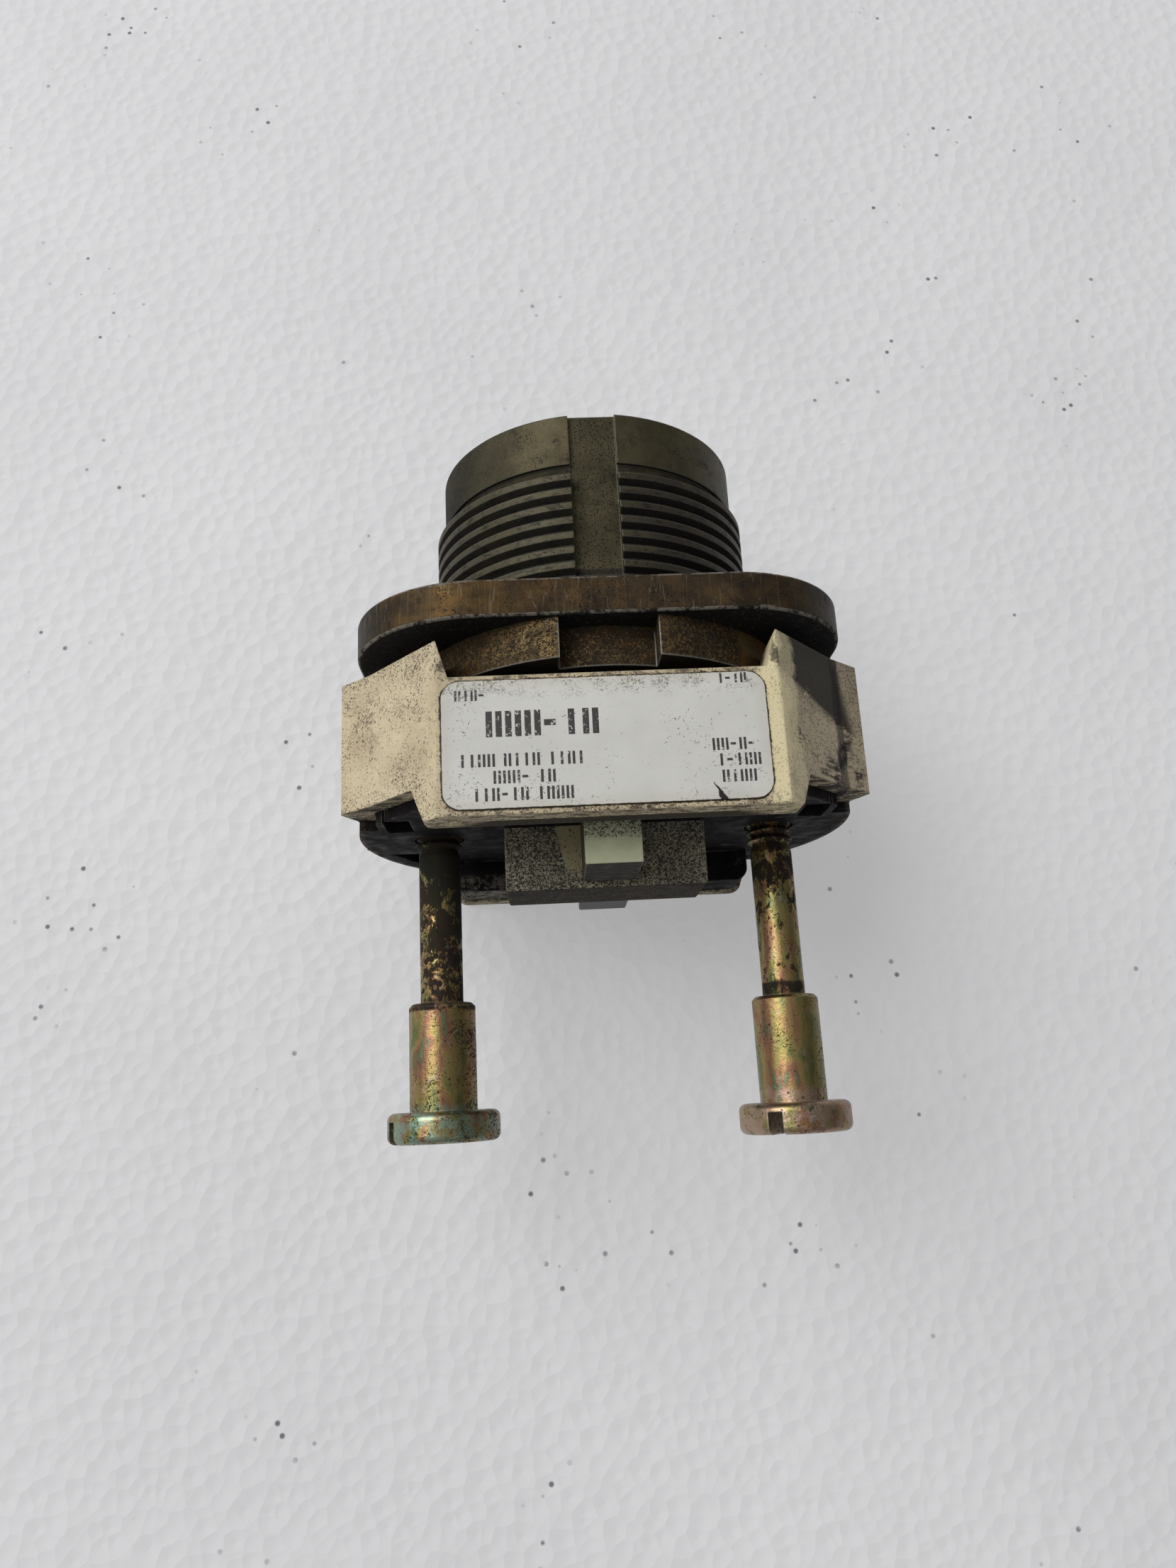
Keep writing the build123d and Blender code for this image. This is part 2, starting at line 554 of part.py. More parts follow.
# ---------------------------------------------------------------- screws and threaded inserts
with BuildPart() as threaded_inserts:
    extrude(disc(BASE_PLUG_FRONT, INSERT_R, inner=INSERT_BORE_R, centres=SCREW_CENTRES),
            amount=back(INSERT_BACK - BASE_PLUG_FRONT))
save(threaded_inserts, "threaded_inserts")


def screw_outline(x, tip):
    """Half section of a block-mounting screw whose axis stands at x and whose tip is at station tip."""
    points = [(0, tip), (SCREW_ROOT_R, tip)]
    for turn in range(int(THREAD_LENGTH / SCREW_PITCH)):
        y = tip + turn * SCREW_PITCH
        points += [(SCREW_CREST_R, y + CREST_FROM), (SCREW_CREST_R, y + CREST_TO),
                   (SCREW_ROOT_R, y + ROOT_FROM)]
    barrel, head, end = tip + SHANK_END, tip + BARREL_END, tip + SCREW_LENGTH
    points += [(SHANK_R, tip + THREAD_LENGTH), (SHANK_R, barrel), (BARREL_R - BARREL_BEVEL, barrel),
               (BARREL_R, barrel + BARREL_BEVEL), (BARREL_R, head), (HEAD_R, head), (HEAD_R, end),
               (0, end)]
    return outline([(x + r, y) for r, y in points])


for name, (x, tip, slot_angle) in SCREWS.items():
    with BuildPart() as screw:
        revolve(screw_outline(x, tip), axis=Axis((x, 0, 0), (0, 1, 0)))
        rims = [e for e in screw.edges().filter_by(GeomType.CIRCLE) if e.radius > HEAD_R - HEAD_ROUND]
        fillet(rims, HEAD_ROUND)
        with BuildSketch(at_y(tip + SCREW_LENGTH)):
            with Locations(Location((x, 0, 0), (0, 0, slot_angle))):
                Rectangle(3 * HEAD_R, SLOT_W)
        extrude(amount=SLOT_DEPTH, mode=Mode.SUBTRACT)
    save(screw, name)
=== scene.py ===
"""Looks for the selector-switch operator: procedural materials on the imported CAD, and label 1's print."""
from math import radians
from random import Random

import bmesh
import bpy
from mathutils import Matrix, Vector


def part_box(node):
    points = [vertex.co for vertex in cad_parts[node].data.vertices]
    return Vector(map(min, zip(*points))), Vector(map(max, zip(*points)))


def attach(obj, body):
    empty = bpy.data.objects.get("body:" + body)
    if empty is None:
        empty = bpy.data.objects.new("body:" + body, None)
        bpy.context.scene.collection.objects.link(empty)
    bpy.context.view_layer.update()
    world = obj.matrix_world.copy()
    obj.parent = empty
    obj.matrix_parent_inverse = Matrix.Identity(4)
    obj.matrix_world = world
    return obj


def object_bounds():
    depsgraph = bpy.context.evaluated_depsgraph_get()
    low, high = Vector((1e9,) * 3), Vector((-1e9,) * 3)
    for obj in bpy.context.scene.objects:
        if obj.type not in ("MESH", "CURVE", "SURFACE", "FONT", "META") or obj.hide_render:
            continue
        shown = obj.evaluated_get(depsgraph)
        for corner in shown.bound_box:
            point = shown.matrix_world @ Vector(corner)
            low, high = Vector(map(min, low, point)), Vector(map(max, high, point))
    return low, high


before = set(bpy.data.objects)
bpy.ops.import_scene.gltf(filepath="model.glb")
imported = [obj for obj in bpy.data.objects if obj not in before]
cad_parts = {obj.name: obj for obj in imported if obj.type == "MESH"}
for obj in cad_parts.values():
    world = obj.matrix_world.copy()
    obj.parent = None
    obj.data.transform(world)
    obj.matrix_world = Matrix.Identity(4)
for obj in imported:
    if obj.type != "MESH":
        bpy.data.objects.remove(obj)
cad_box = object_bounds()
MM = 0.001

# Measures of the part that its dirt, painted shade and print follow, in millimetres; stations are along Y
THREAD_START = -12.4       # front edge of the relief before the thread
THREAD_R = 15.0
FLANGE_BACK = 3.4
WING_BACK = 17.1
JOINT_Y = 33.3             # between the joints of shank and barrel on the two screws, 33.05 and 33.8
KEY_HALF = 2.1             # half width of the keyway
LABEL_CORNER = 1.5
LABEL_LOW, LABEL_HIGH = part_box("label_side_1")
LABEL_MID = (LABEL_LOW + LABEL_HIGH) / 2 / MM
LABEL_HALF = (LABEL_HIGH - LABEL_LOW) / 2 / MM
TEAR = (-8.35, 19.0)       # middle of the label's small tear
BLACK = (0.010, 0.009, 0.009)

# ------------------------------------------------------------------ camera
# Fitted view from above and behind the switch, looking down at label 1
FOCAL_PX = 1597.0
FRAME_HEIGHT_PX = 2212.0
ROLL, TILT, YAW = radians(-2.99), radians(15.24), radians(-2.53)
# The part's origin in the camera's axes: right, down, forward
LENS_TO_ORIGIN = Vector((0.668, -12.766, 110.635)) * MM
SENSOR_HEIGHT = 36.0


def add_camera():
    """Camera whose right, down and forward axes are the rows of turn."""
    turn = (Matrix.Rotation(ROLL, 3, "Z") @ Matrix.Rotation(-TILT, 3, "X")
            @ Matrix.Rotation(YAW, 3, "Y") @ Matrix.Diagonal((-1, 1, -1)))
    right, down, forward = turn[0], turn[1], turn[2]
    basis = Matrix((right, -down, -forward)).transposed()
    data = bpy.data.cameras.new("camera")
    data.sensor_fit = "VERTICAL"
    data.sensor_height = SENSOR_HEIGHT
    data.lens = SENSOR_HEIGHT * FOCAL_PX / FRAME_HEIGHT_PX
    data.clip_start = 0.005
    camera = bpy.data.objects.new("camera", data)
    camera.matrix_world = Matrix.Translation(-(turn.transposed() @ LENS_TO_ORIGIN)) @ basis.to_4x4()
    bpy.context.scene.collection.objects.link(camera)
    bpy.context.scene.camera = camera


add_camera()


# ------------------------------------------------------------------ node materials
SPECK_SHARPNESS = 14.0
FLOOR_GLOW = 0.88


class Shade:
    """A node material with short calls for the nodes these surfaces need. Lengths are millimetres."""

    def __init__(self, name, roughness=0.5, metallic=0.0, gloss=0.3):
        self.material = bpy.data.materials.new(name)
        self.material.use_nodes = True
        self.tree = self.material.node_tree
        self.shader = self.tree.nodes["Principled BSDF"]
        self.shader.inputs["Roughness"].default_value = roughness
        self.shader.inputs["Metallic"].default_value = metallic
        self.shader.inputs["Specular IOR Level"].default_value = gloss
        coords = self.add("ShaderNodeTexCoord")
        self.place = self.vector("MULTIPLY", coords.outputs["Object"], (1 / MM, 1 / MM, 1 / MM))
        split = self.add("ShaderNodeSeparateXYZ", {0: self.place})
        self.x, self.y, self.z = split.outputs
        facing = self.add("ShaderNodeSeparateXYZ", {0: coords.outputs["Normal"]})
        self.nx, self.ny, self.nz = facing.outputs

    def add(self, kind, inputs=None, **settings):
        """Node with values or links on its inputs."""
        node = self.tree.nodes.new(kind)
        for key, value in settings.items():
            setattr(node, key, value)
        for key, value in (inputs or {}).items():
            if isinstance(value, bpy.types.NodeSocket):
                self.tree.links.new(value, node.inputs[key])
            else:
                node.inputs[key].default_value = value
        return node

    def vector(self, operation, a, b):
        return self.add("ShaderNodeVectorMath", {0: a, 1: b}, operation=operation).outputs[0]

    def math(self, operation, a, b=0.0, clamp=False):
        return self.add("ShaderNodeMath", {0: a, 1: b}, operation=operation, use_clamp=clamp).outputs[0]

    def times(self, a, b):
        return self.math("MULTIPLY", a, b)

    def plus(self, a, b):
        return self.math("ADD", a, b)

    def minus(self, a, b):
        return self.math("SUBTRACT", a, b)

    def absolute(self, a):
        return self.math("ABSOLUTE", a)

    def moved(self, seed, stretch):
        """Coordinates for a pattern, shifted by its seed and stretched along the axes."""
        place = self.vector("MULTIPLY", self.place, stretch) if stretch else self.place
        return self.vector("ADD", place, (seed * 17.3, seed * 7.1, seed * 3.7)) if seed else place

    def noise(self, scale, detail=3.0, rough=0.55, seed=0, stretch=None, distortion=0.0):
        return self.add("ShaderNodeTexNoise", {"Vector": self.moved(seed, stretch), "Scale": scale,
                        "Detail": detail, "Roughness": rough, "Distortion": distortion}).outputs[0]

    def cells(self, scale, seed=0):
        """Distance to the nearest of scattered points."""
        return self.add("ShaderNodeTexVoronoi", {"Vector": self.moved(seed, None), "Scale": scale},
                        feature="F1").outputs["Distance"]

    def step(self, value, low, high):
        """0 at low, 1 at high, smooth between; low may be above high."""
        return self.add("ShaderNodeMapRange", {"Value": value, "From Min": low, "From Max": high},
                        interpolation_type="SMOOTHSTEP").outputs[0]

    def band(self, value, low, high, soft):
        """1 between low and high, falling to 0 over soft on either side."""
        return self.times(self.step(value, low - soft, low), self.step(value, high + soft, high))

    def both(self, a, b):
        """1 where both masks are, 0 where one is."""
        return self.math("MULTIPLY", a, b, clamp=True)

    def either(self, a, b):
        """The stronger of two masks."""
        return self.math("MAXIMUM", a, b)

    def ramp(self, value, *stops):
        """Colour that follows a value through stops of (value, colour)."""
        node = self.add("ShaderNodeValToRGB", {0: value})
        points = node.color_ramp.elements
        while len(points) < len(stops):
            points.new(0.5)
        for point, (at, colour) in zip(points, stops):
            point.position = at
            point.color = (*colour, 1)
        return node.outputs[0]

    def mix(self, amount, a, b):
        """Colour between a and b."""
        colour = [(*c, 1) if isinstance(c, tuple) else c for c in (a, b)]
        return self.add("ShaderNodeMix", {"Factor": amount, 6: colour[0], 7: colour[1]},
                        data_type="RGBA").outputs[2]

    def fade(self, amount, a, b):
        """Number between a and b."""
        return self.add("ShaderNodeMix", {"Factor": amount, 2: a, 3: b}, data_type="FLOAT").outputs[0]

    def specks(self, scale, size, seed=0, clump=None):
        """Small separate dots, denser where clump is near 1."""
        dots = self.cells(scale, seed)
        reach = size if clump is None else self.times(clump, size)
        return self.math("MULTIPLY", self.minus(reach, dots), SPECK_SHARPNESS, clamp=True)

    def edge(self, radius, low, high, ragged=0.0, seed=0):
        """1 on corners within radius millimetres, 0 on open faces."""
        bevel = self.add("ShaderNodeBevel", {"Radius": radius * MM}, samples=4)
        true_normal = self.add("ShaderNodeNewGeometry").outputs["Normal"]
        turn = self.add("ShaderNodeVectorMath", {0: bevel.outputs[0], 1: true_normal},
                        operation="DOT_PRODUCT").outputs["Value"]
        bend = self.minus(1.0, turn)
        if ragged:
            uneven = self.minus(self.noise(1.7, 4, 0.7, seed=seed + 31), 0.5)
            bend = self.plus(bend, self.times(uneven, ragged))
        return self.step(bend, low, high)

    def finish(self, colour, roughness, metallic, height, bump, depth, rounding=0.0):
        """Plugs the results in; rounding softens corners' shading over so many millimetres."""
        for socket, value in (("Base Color", colour), ("Roughness", roughness), ("Metallic", metallic)):
            if value is not None:
                self.tree.links.new(value, self.shader.inputs[socket])
        bumped = self.add("ShaderNodeBump", {"Strength": bump, "Distance": depth * MM, "Height": height})
        if rounding:
            soft = self.add("ShaderNodeBevel", {"Radius": rounding * MM}, samples=4)
            self.tree.links.new(soft.outputs[0], bumped.inputs["Normal"])
        self.tree.links.new(bumped.outputs[0], self.shader.inputs["Normal"])
        return self.material


def radius_from_axis(m):
    """Distance from the bush axis."""
    return m.math("SQRT", m.plus(m.times(m.x, m.x), m.times(m.z, m.z)))


def cast_zinc():
    """Old olive chromate on a zinc casting: brown flange rim, greasy grooves, bright nicked corners; painted
    shade in the thread grooves and behind the flange.
    """
    m = Shade("cast_zinc", metallic=0.35, gloss=0.12)
    cloud = m.noise(0.25, 5, 0.65, seed=1)
    fine = m.noise(2.8, 5, 0.7, seed=2)
    olive = m.ramp(cloud, (0.3, (0.040, 0.034, 0.019)), (0.5, (0.068, 0.058, 0.032)),
                   (0.72, (0.098, 0.082, 0.046)))
    rust = m.noise(0.5, 5, 0.65, seed=3)
    brown = m.ramp(rust, (0.3, (0.020, 0.015, 0.011)),
                   (0.5, (0.046, 0.031, 0.017)), (0.72, (0.085, 0.053, 0.022)))
    rusty = m.ramp(rust, (0.3, (0.034, 0.023, 0.012)),
                   (0.5, (0.078, 0.047, 0.018)), (0.72, (0.135, 0.076, 0.022)))
    warm_side = m.both(m.step(m.x, -3.0, 12.0), m.step(m.x, 21.0, 17.0))
    colour = m.mix(m.step(m.y, -0.5, 0.1), olive, m.mix(warm_side, brown, rusty))
    radius = radius_from_axis(m)
    ends = m.both(m.step(m.absolute(m.x), 13.0, 21.0), m.step(m.y, -0.5, 0.0))
    colour = m.mix(m.times(ends, 0.5), colour, (0.014, 0.012, 0.011))
    keyway = m.both(m.band(m.x, -KEY_HALF, KEY_HALF, 0.1), m.step(m.z, 0.0, 1.0))
    threaded = m.both(m.step(m.y, THREAD_START - 0.1, THREAD_START), m.step(m.y, 0.0, -0.1))
    threaded = m.both(threaded, m.step(keyway, 0.6, 0.2))
    groove = m.both(threaded, m.step(radius, THREAD_R - 0.015, THREAD_R - 0.10))
    # thread grooves darkened by grease and by painted shade; the painted shade is full on the flanks facing
    # +Y, away from the light
    rearward = m.step(m.ny, -0.2, 0.4)
    greasy = m.fade(m.both(m.step(m.x, 2.0, -3.0), m.step(m.y, -12.0, -9.0)), 0.75, 1.0)
    groove_grease_and_shade = m.both(groove, m.fade(rearward, m.fade(fine, 0.25, 0.75), 1.0))
    colour = m.mix(m.both(groove_grease_and_shade, greasy), colour, (0.020, 0.018, 0.016))
    crest = m.both(threaded, m.step(radius, THREAD_R - 0.10, THREAD_R - 0.02))
    crest_tone = m.mix(m.step(m.x, -1.0, -6.0), (0.076, 0.067, 0.043), (0.050, 0.043, 0.033))
    colour = m.mix(m.both(crest, m.step(m.noise(0.8, 4, 0.7, seed=4), 0.30, 0.55)), colour, crest_tone)
    blot = m.step(m.noise(1.3, 5, 0.72, seed=24, stretch=(0.6, 1.6, 0.6)), 0.53, 0.62)
    colour = m.mix(m.both(threaded, m.times(blot, 0.75)), colour, (0.018, 0.016, 0.014))
    shelf = m.both(keyway, m.band(m.y, -2.3, -0.9, 0.25))
    dirt_and_shade = m.step(m.noise(0.55, 6, 0.72, seed=5), 0.54, 0.70)
    # painted shade: the flange's rear face and the bush behind it are painted almost black
    rear = m.step(m.y, FLANGE_BACK - 0.35, FLANGE_BACK - 0.05)
    smudge = m.both(m.band(m.y, -17.5, -12.2, 0.4), m.step(m.x, 6.0, 13.5))
    dirt_and_shade = m.either(m.times(dirt_and_shade, 0.6), m.times(rear, 0.97))
    dirt_and_shade = m.either(dirt_and_shade, m.both(m.either(shelf, smudge), m.fade(fine, 0.2, 1.1)))
    colour = m.mix(dirt_and_shade, colour, (0.011, 0.010, 0.011))
    clump = m.either(m.step(m.noise(0.4, 3, seed=7), 0.3, 0.7), m.times(keyway, 0.9))
    pits = m.either(m.specks(3.6, 0.34, seed=6, clump=clump), m.specks(6.5, 0.32, seed=16, clump=clump))
    colour = m.mix(m.times(pits, 0.85), colour, BLACK)
    glint = m.both(m.specks(4.3, 0.16, seed=8), m.step(m.noise(0.6, 2, seed=18), 0.45, 0.6))
    colour = m.mix(m.times(glint, 0.5), colour, (0.28, 0.26, 0.21))
    worn = m.edge(0.16, 0.05, 0.2, ragged=0.22, seed=1)
    worn = m.both(worn, m.step(radius, 13.0, 13.4))
    colour = m.mix(m.times(worn, 0.7), colour, (0.26, 0.245, 0.21))
    scratch = m.noise(1.2, 2, 0.5, seed=20, stretch=(1.0, 0.06, 1.0), distortion=0.2)
    scratch = m.both(m.band(scratch, 0.495, 0.505, 0.004), m.step(m.y, -0.3, 0.0))
    colour = m.mix(m.times(scratch, 0.3), colour, (0.20, 0.165, 0.11))
    eased = m.both(m.band(m.absolute(m.ny), 0.35, 0.85, 0.15), m.band(m.y, -0.05, FLANGE_BACK + 0.05, 0.05))
    eased = m.both(eased, m.step(radius, THREAD_R + 0.3, THREAD_R + 0.5))
    eased = m.both(eased, m.step(m.noise(0.9, 5, 0.75, seed=27), 0.42, 0.56))
    colour = m.mix(m.times(eased, 0.75), colour, (0.22, 0.20, 0.165))
    rough = m.fade(m.either(dirt_and_shade, groove), m.fade(fine, 0.38, 0.62), 0.85)
    height = m.minus(m.plus(fine, m.noise(6.0, 3, 0.6, seed=9)), pits)
    return m.finish(colour, rough, m.fade(m.either(dirt_and_shade, groove_grease_and_shade), 0.5, 0.05), height, 0.4, 0.06,
                    rounding=0.18)


def plated_ring():
    """Golden chromated ring under wormy black grease, painted shade on its faces turned to +Y, bright metal
    showing on its corners.
    """
    m = Shade("plated_ring", gloss=0.12)
    gold = m.ramp(m.noise(0.8, 5, 0.65, seed=1), (0.3, (0.075, 0.049, 0.019)), (0.5, (0.135, 0.092, 0.037)),
                  (0.7, (0.20, 0.135, 0.056)))
    orange = m.step(m.noise(0.55, 4, 0.6, seed=4), 0.54, 0.66)
    colour = m.mix(m.times(orange, 0.6), gold, (0.20, 0.085, 0.025))
    worms = m.noise(4.2, 3, 0.6, seed=3, distortion=1.5)
    floor = m.step(radius_from_axis(m), 15.6, 15.2)
    coverage = m.fade(floor, 0.525, 0.575)
    black = m.step(m.minus(worms, coverage), 0.02, -0.04)
    grease = m.step(m.noise(0.42, 5, 0.7, seed=5), 0.50, 0.62)
    patch = m.both(m.band(m.x, -11.5, -6.0, 1.6), m.step(m.z, 0.0, 1.0))
    dark = m.either(m.times(black, 0.9), m.times(grease, 0.6))
    heavy = m.step(m.minus(m.noise(3.4, 4, 0.7, seed=9), 0.51), 0.02, -0.05)
    dark = m.either(dark, m.both(patch, heavy))
    clean = m.both(m.step(m.x, -11.3, -12.2), m.step(m.z, 0.0, 1.0))
    dark = m.both(dark, m.fade(clean, 1.0, 0.25))
    # painted shade: faces turned to +Y, in the narrow gap against the housing, painted black
    dark = m.either(dark, m.step(m.ny, 0.35, 0.8))
    colour = m.mix(m.times(dark, 0.94), colour, BLACK)
    worn = m.edge(0.28, 0.05, 0.16, ragged=0.2, seed=2)
    worn = m.both(worn, m.step(m.y, FLANGE_BACK + 0.3, FLANGE_BACK + 0.8))
    colour = m.mix(m.times(worn, 0.85), colour, (0.40, 0.40, 0.38))
    return m.finish(colour, m.fade(dark, 0.42, 0.85), m.fade(dark, 0.4, 0.05), worms, 0.35, 0.06,
                    rounding=0.2)


def label_distance(m):
    """Distance outside the rounded outline of the label plates, negative inside."""
    across = m.minus(m.absolute(m.minus(m.x, LABEL_MID.x)), LABEL_HALF.x - LABEL_CORNER)
    along = m.minus(m.absolute(m.minus(m.y, LABEL_MID.y)), LABEL_HALF.y - LABEL_CORNER)
    outside = m.add("ShaderNodeCombineXYZ", {0: m.either(across, 0.0), 1: m.either(along, 0.0)}).outputs[0]
    length = m.add("ShaderNodeVectorMath", {0: outside}, operation="LENGTH").outputs["Value"]
    inside = m.math("MINIMUM", m.either(across, along), 0.0)
    return m.minus(m.plus(length, inside), LABEL_CORNER)


def cream_moulding():
    """Cream moulded housing: fine black specks, a grimy line round the label, one wing smeared black;
    painted shade on its rear faces, round the ring and along the wing's crease; paler edges, worn and with a
    painted highlight.
    """
    m = Shade("cream_moulding", gloss=0.12)
    upper = m.step(m.z, 0.0, 2.0)
    cream = m.ramp(m.noise(0.3, 4, 0.6, seed=1), (0.3, (0.47, 0.385, 0.25)), (0.55, (0.58, 0.49, 0.325)),
                   (0.8, (0.66, 0.575, 0.39)))
    wobble = m.times(m.minus(m.noise(0.35, 4, 0.65, seed=2), 0.5), 5.0)
    wing = m.both(m.step(m.plus(m.x, wobble), -14.1, -14.9), m.step(m.x, 0.0, -1.0))
    fold = m.both(m.band(m.plus(m.x, m.times(wobble, 0.15)), -20.75, -20.15, 0.25), wing)
    tip = m.step(m.plus(m.x, m.times(m.y, 0.23)), -18.6, -19.9)
    # fine specks everywhere, thicker in drifts
    drift = m.step(m.noise(0.28, 4, 0.65, seed=3), 0.38, 0.66)
    drift = m.either(drift, m.times(m.step(m.y, 7.6, 5.3), 0.9))
    low_corner = m.step(m.minus(m.y, m.times(m.z, 0.35)), 10.2, 14.5)
    drift = m.either(drift, m.times(low_corner, 0.75))
    grain = m.noise(5.5, 3, 0.65, seed=4, distortion=0.9)
    grain_cut = m.fade(drift, 0.385, 0.485)
    grain_cut = m.fade(wing, grain_cut, m.fade(tip, 0.44, 0.46))
    fine = m.step(m.minus(grain, grain_cut), 0.015, -0.035)
    spots = m.specks(2.2, 0.24, seed=5, clump=m.fade(drift, 0.5, 1.0))
    speck = m.either(m.times(fine, 0.82), m.times(spots, 0.9))
    strip = m.band(m.plus(m.x, m.times(wobble, 0.5)), -15.3, -12.7, 0.5)
    strip = m.both(strip, m.step(m.z, 13.0, 15.0))
    cream = m.mix(m.times(strip, 0.85), cream, (0.80, 0.70, 0.43))
    colour = m.mix(m.both(speck, m.fade(strip, 1.0, 0.55)), cream, (0.050, 0.036, 0.026))
    # black smear: solid at the front corner, thinned and scratched further back
    front = m.step(m.plus(m.y, m.times(m.x, 0.35)), 5.5, 1.0)
    cloud = m.noise(0.42, 5, 0.7, seed=6)
    streak = m.noise(1.1, 6, 0.8, seed=7, stretch=(0.35, 3.0, 0.35), distortion=0.6)
    amount = m.plus(m.plus(m.times(cloud, 0.8), m.times(streak, 0.55)), m.times(front, 0.42))
    smear = m.both(wing, m.step(amount, 0.68, 0.80))
    smear = m.both(smear, m.both(m.fade(tip, 1.0, 0.25), m.fade(strip, 1.0, 0.3)))
    wiped = m.both(m.band(m.minus(m.y, m.times(m.x, -0.45)), 2.6, 6.0, 0.7),
                   m.band(m.x, -19.6, -14.4, 0.5))
    smear = m.both(smear, m.fade(m.both(wiped, m.step(streak, 0.40, 0.52)), 1.0, 0.25))
    colour = m.mix(m.times(wing, m.fade(tip, 0.22, 0.06)), colour, (0.20, 0.175, 0.135))
    colour = m.mix(m.times(smear, 0.94), colour, (0.020, 0.017, 0.015))
    # painted shade: a patchy dark line along the crease between the wing's two facets
    colour = m.mix(m.both(fold, m.fade(cloud, 0.3, 1.2)), colour, BLACK)
    # grime line round the label, and drifts of it on the label wall's front and rear margins
    gap = m.plus(label_distance(m), m.times(m.noise(1.1, 5, 0.75, seed=9), 0.5))
    face = m.step(m.absolute(m.nz), 0.7, 0.9)
    rim = m.both(m.step(gap, 0.42, 0.34), face)
    margin = m.both(m.both(face, m.step(m.y, 18.6, 20.0)), m.step(m.noise(0.7, 5, 0.72, seed=12), 0.48, 0.6))
    corner_dirt = m.both(face, m.both(m.step(m.noise(0.5, 5, 0.7, seed=13), 0.5, 0.62),
                                      m.step(m.y, 10.0, 8.6)))
    dark = m.either(m.times(rim, 0.93), m.times(m.either(margin, corner_dirt), 0.8))
    colour = m.mix(dark, colour, (0.025, 0.019, 0.014))
    # rear faces: painted shade, faces turned to +Y painted almost black in streaky patches with paler
    # streaks between
    behind = m.both(m.step(m.ny, 0.4, 0.8), m.step(m.y, WING_BACK + 0.5, WING_BACK + 0.1))
    behind = m.both(behind, m.step(m.noise(0.9, 5, 0.75, seed=10, stretch=(0.5, 1, 1.6)), 0.62, 0.40))
    back_wall = m.both(m.both(m.step(m.ny, 0.4, 0.8), m.step(m.y, WING_BACK + 0.5, WING_BACK + 0.9)),
                       m.step(m.noise(1.1, 5, 0.72, seed=11, stretch=(0.45, 1, 1.5)), 0.44, 0.60))
    dark = m.either(m.times(behind, 0.95), m.times(back_wall, 0.8))
    # painted shade in the gap between the housing and the ring
    inside = m.step(m.absolute(m.z), 15.45, 15.3)
    inside = m.both(inside, m.either(m.step(m.y, 17.2, 17.6), m.step(m.y, 8.8, 8.4)))
    inside = m.both(inside, m.step(radius_from_axis(m), 20.0, 17.7))
    dark = m.either(dark, m.times(inside, 0.93))
    colour = m.mix(dark, colour, (0.018, 0.015, 0.014))
    # paler edges: wear, and a painted highlight that is stronger on the upper side
    light = m.edge(0.22, 0.04, 0.14, ragged=0.12, seed=3)
    light = m.both(light, m.fade(upper, 0.5, 0.8))
    colour = m.mix(m.both(light, m.fade(wing, 0.55, 0.25)), colour, (0.60, 0.53, 0.37))
    rough = m.fade(dark, m.fade(smear, 0.46, 0.62), 0.9)
    height = m.minus(m.times(m.noise(3.0, 4, 0.6, seed=14), 0.8), speck)
    return m.finish(colour, rough, None, height, 0.22, 0.05, rounding=0.3)


def label_white(m):
    """Colour of the label film with its dirt."""
    white = m.ramp(m.noise(0.25, 3, seed=1), (0.3, (0.60, 0.595, 0.555)), (0.8, (0.69, 0.685, 0.64)))
    drift = m.step(m.noise(0.3, 4, 0.6, seed=3), 0.40, 0.66)
    grain = m.noise(4.5, 3, 0.6, seed=2, distortion=0.8)
    dots = m.step(m.minus(grain, m.fade(drift, 0.30, 0.40)), 0.015, -0.03)
    colour = m.mix(m.times(dots, 0.75), white, (0.085, 0.065, 0.045))
    front = m.both(m.step(m.y, 11.2, 9.2), m.step(m.noise(0.7, 5, 0.7, seed=5), 0.44, 0.6))
    fine = m.step(m.noise(6.5, 3, 0.6, seed=6, distortion=0.8), 0.50, 0.44)
    colour = m.mix(m.both(m.times(front, 0.85), fine), colour, (0.05, 0.037, 0.028))
    edge = m.plus(label_distance(m), m.times(m.noise(1.5, 4, 0.7, seed=4), 0.2))
    colour = m.mix(m.step(edge, 0.05, 0.10), colour, (0.05, 0.038, 0.028))
    return m.mix(m.times(m.step(edge, -1.3, 0.1), 0.22), colour, (0.40, 0.345, 0.22))


def label_film():
    """Off-white label film, faintly creased, torn in one place and dirty along its edges."""
    m = Shade("label_film", roughness=0.38)
    colour = label_white(m)
    tear_x = m.minus(m.x, TEAR[0])
    tear_y = m.minus(m.y, TEAR[1])
    lean = m.plus(tear_x, m.times(tear_y, 0.55))
    wander = m.times(m.minus(m.noise(1.8, 3, seed=8), 0.5), 0.5)
    width = m.minus(m.absolute(m.plus(lean, wander)), m.times(m.plus(tear_y, 0.9), 0.2))
    tear = m.both(m.step(width, 0.06, -0.04), m.band(tear_y, -0.8, 0.75, 0.1))
    tear = m.both(tear, m.step(m.z, 0.0, 1.0))
    colour = m.mix(tear, colour, (0.02, 0.016, 0.013))
    return m.finish(colour, None, None, m.noise(0.8, 3, 0.5, seed=5), 0.15, 0.08)


def label_ink():
    """Dark ink, worn through here and there to the film."""
    m = Shade("label_ink", roughness=0.45)
    worn = m.step(m.noise(2.6, 4, 0.7, seed=23), 0.34, 0.42)
    return m.finish(m.mix(worn, label_white(m), (0.050, 0.046, 0.042)), None, None,
                    m.noise(3.0, 2, seed=24), 0.02, 0.02)


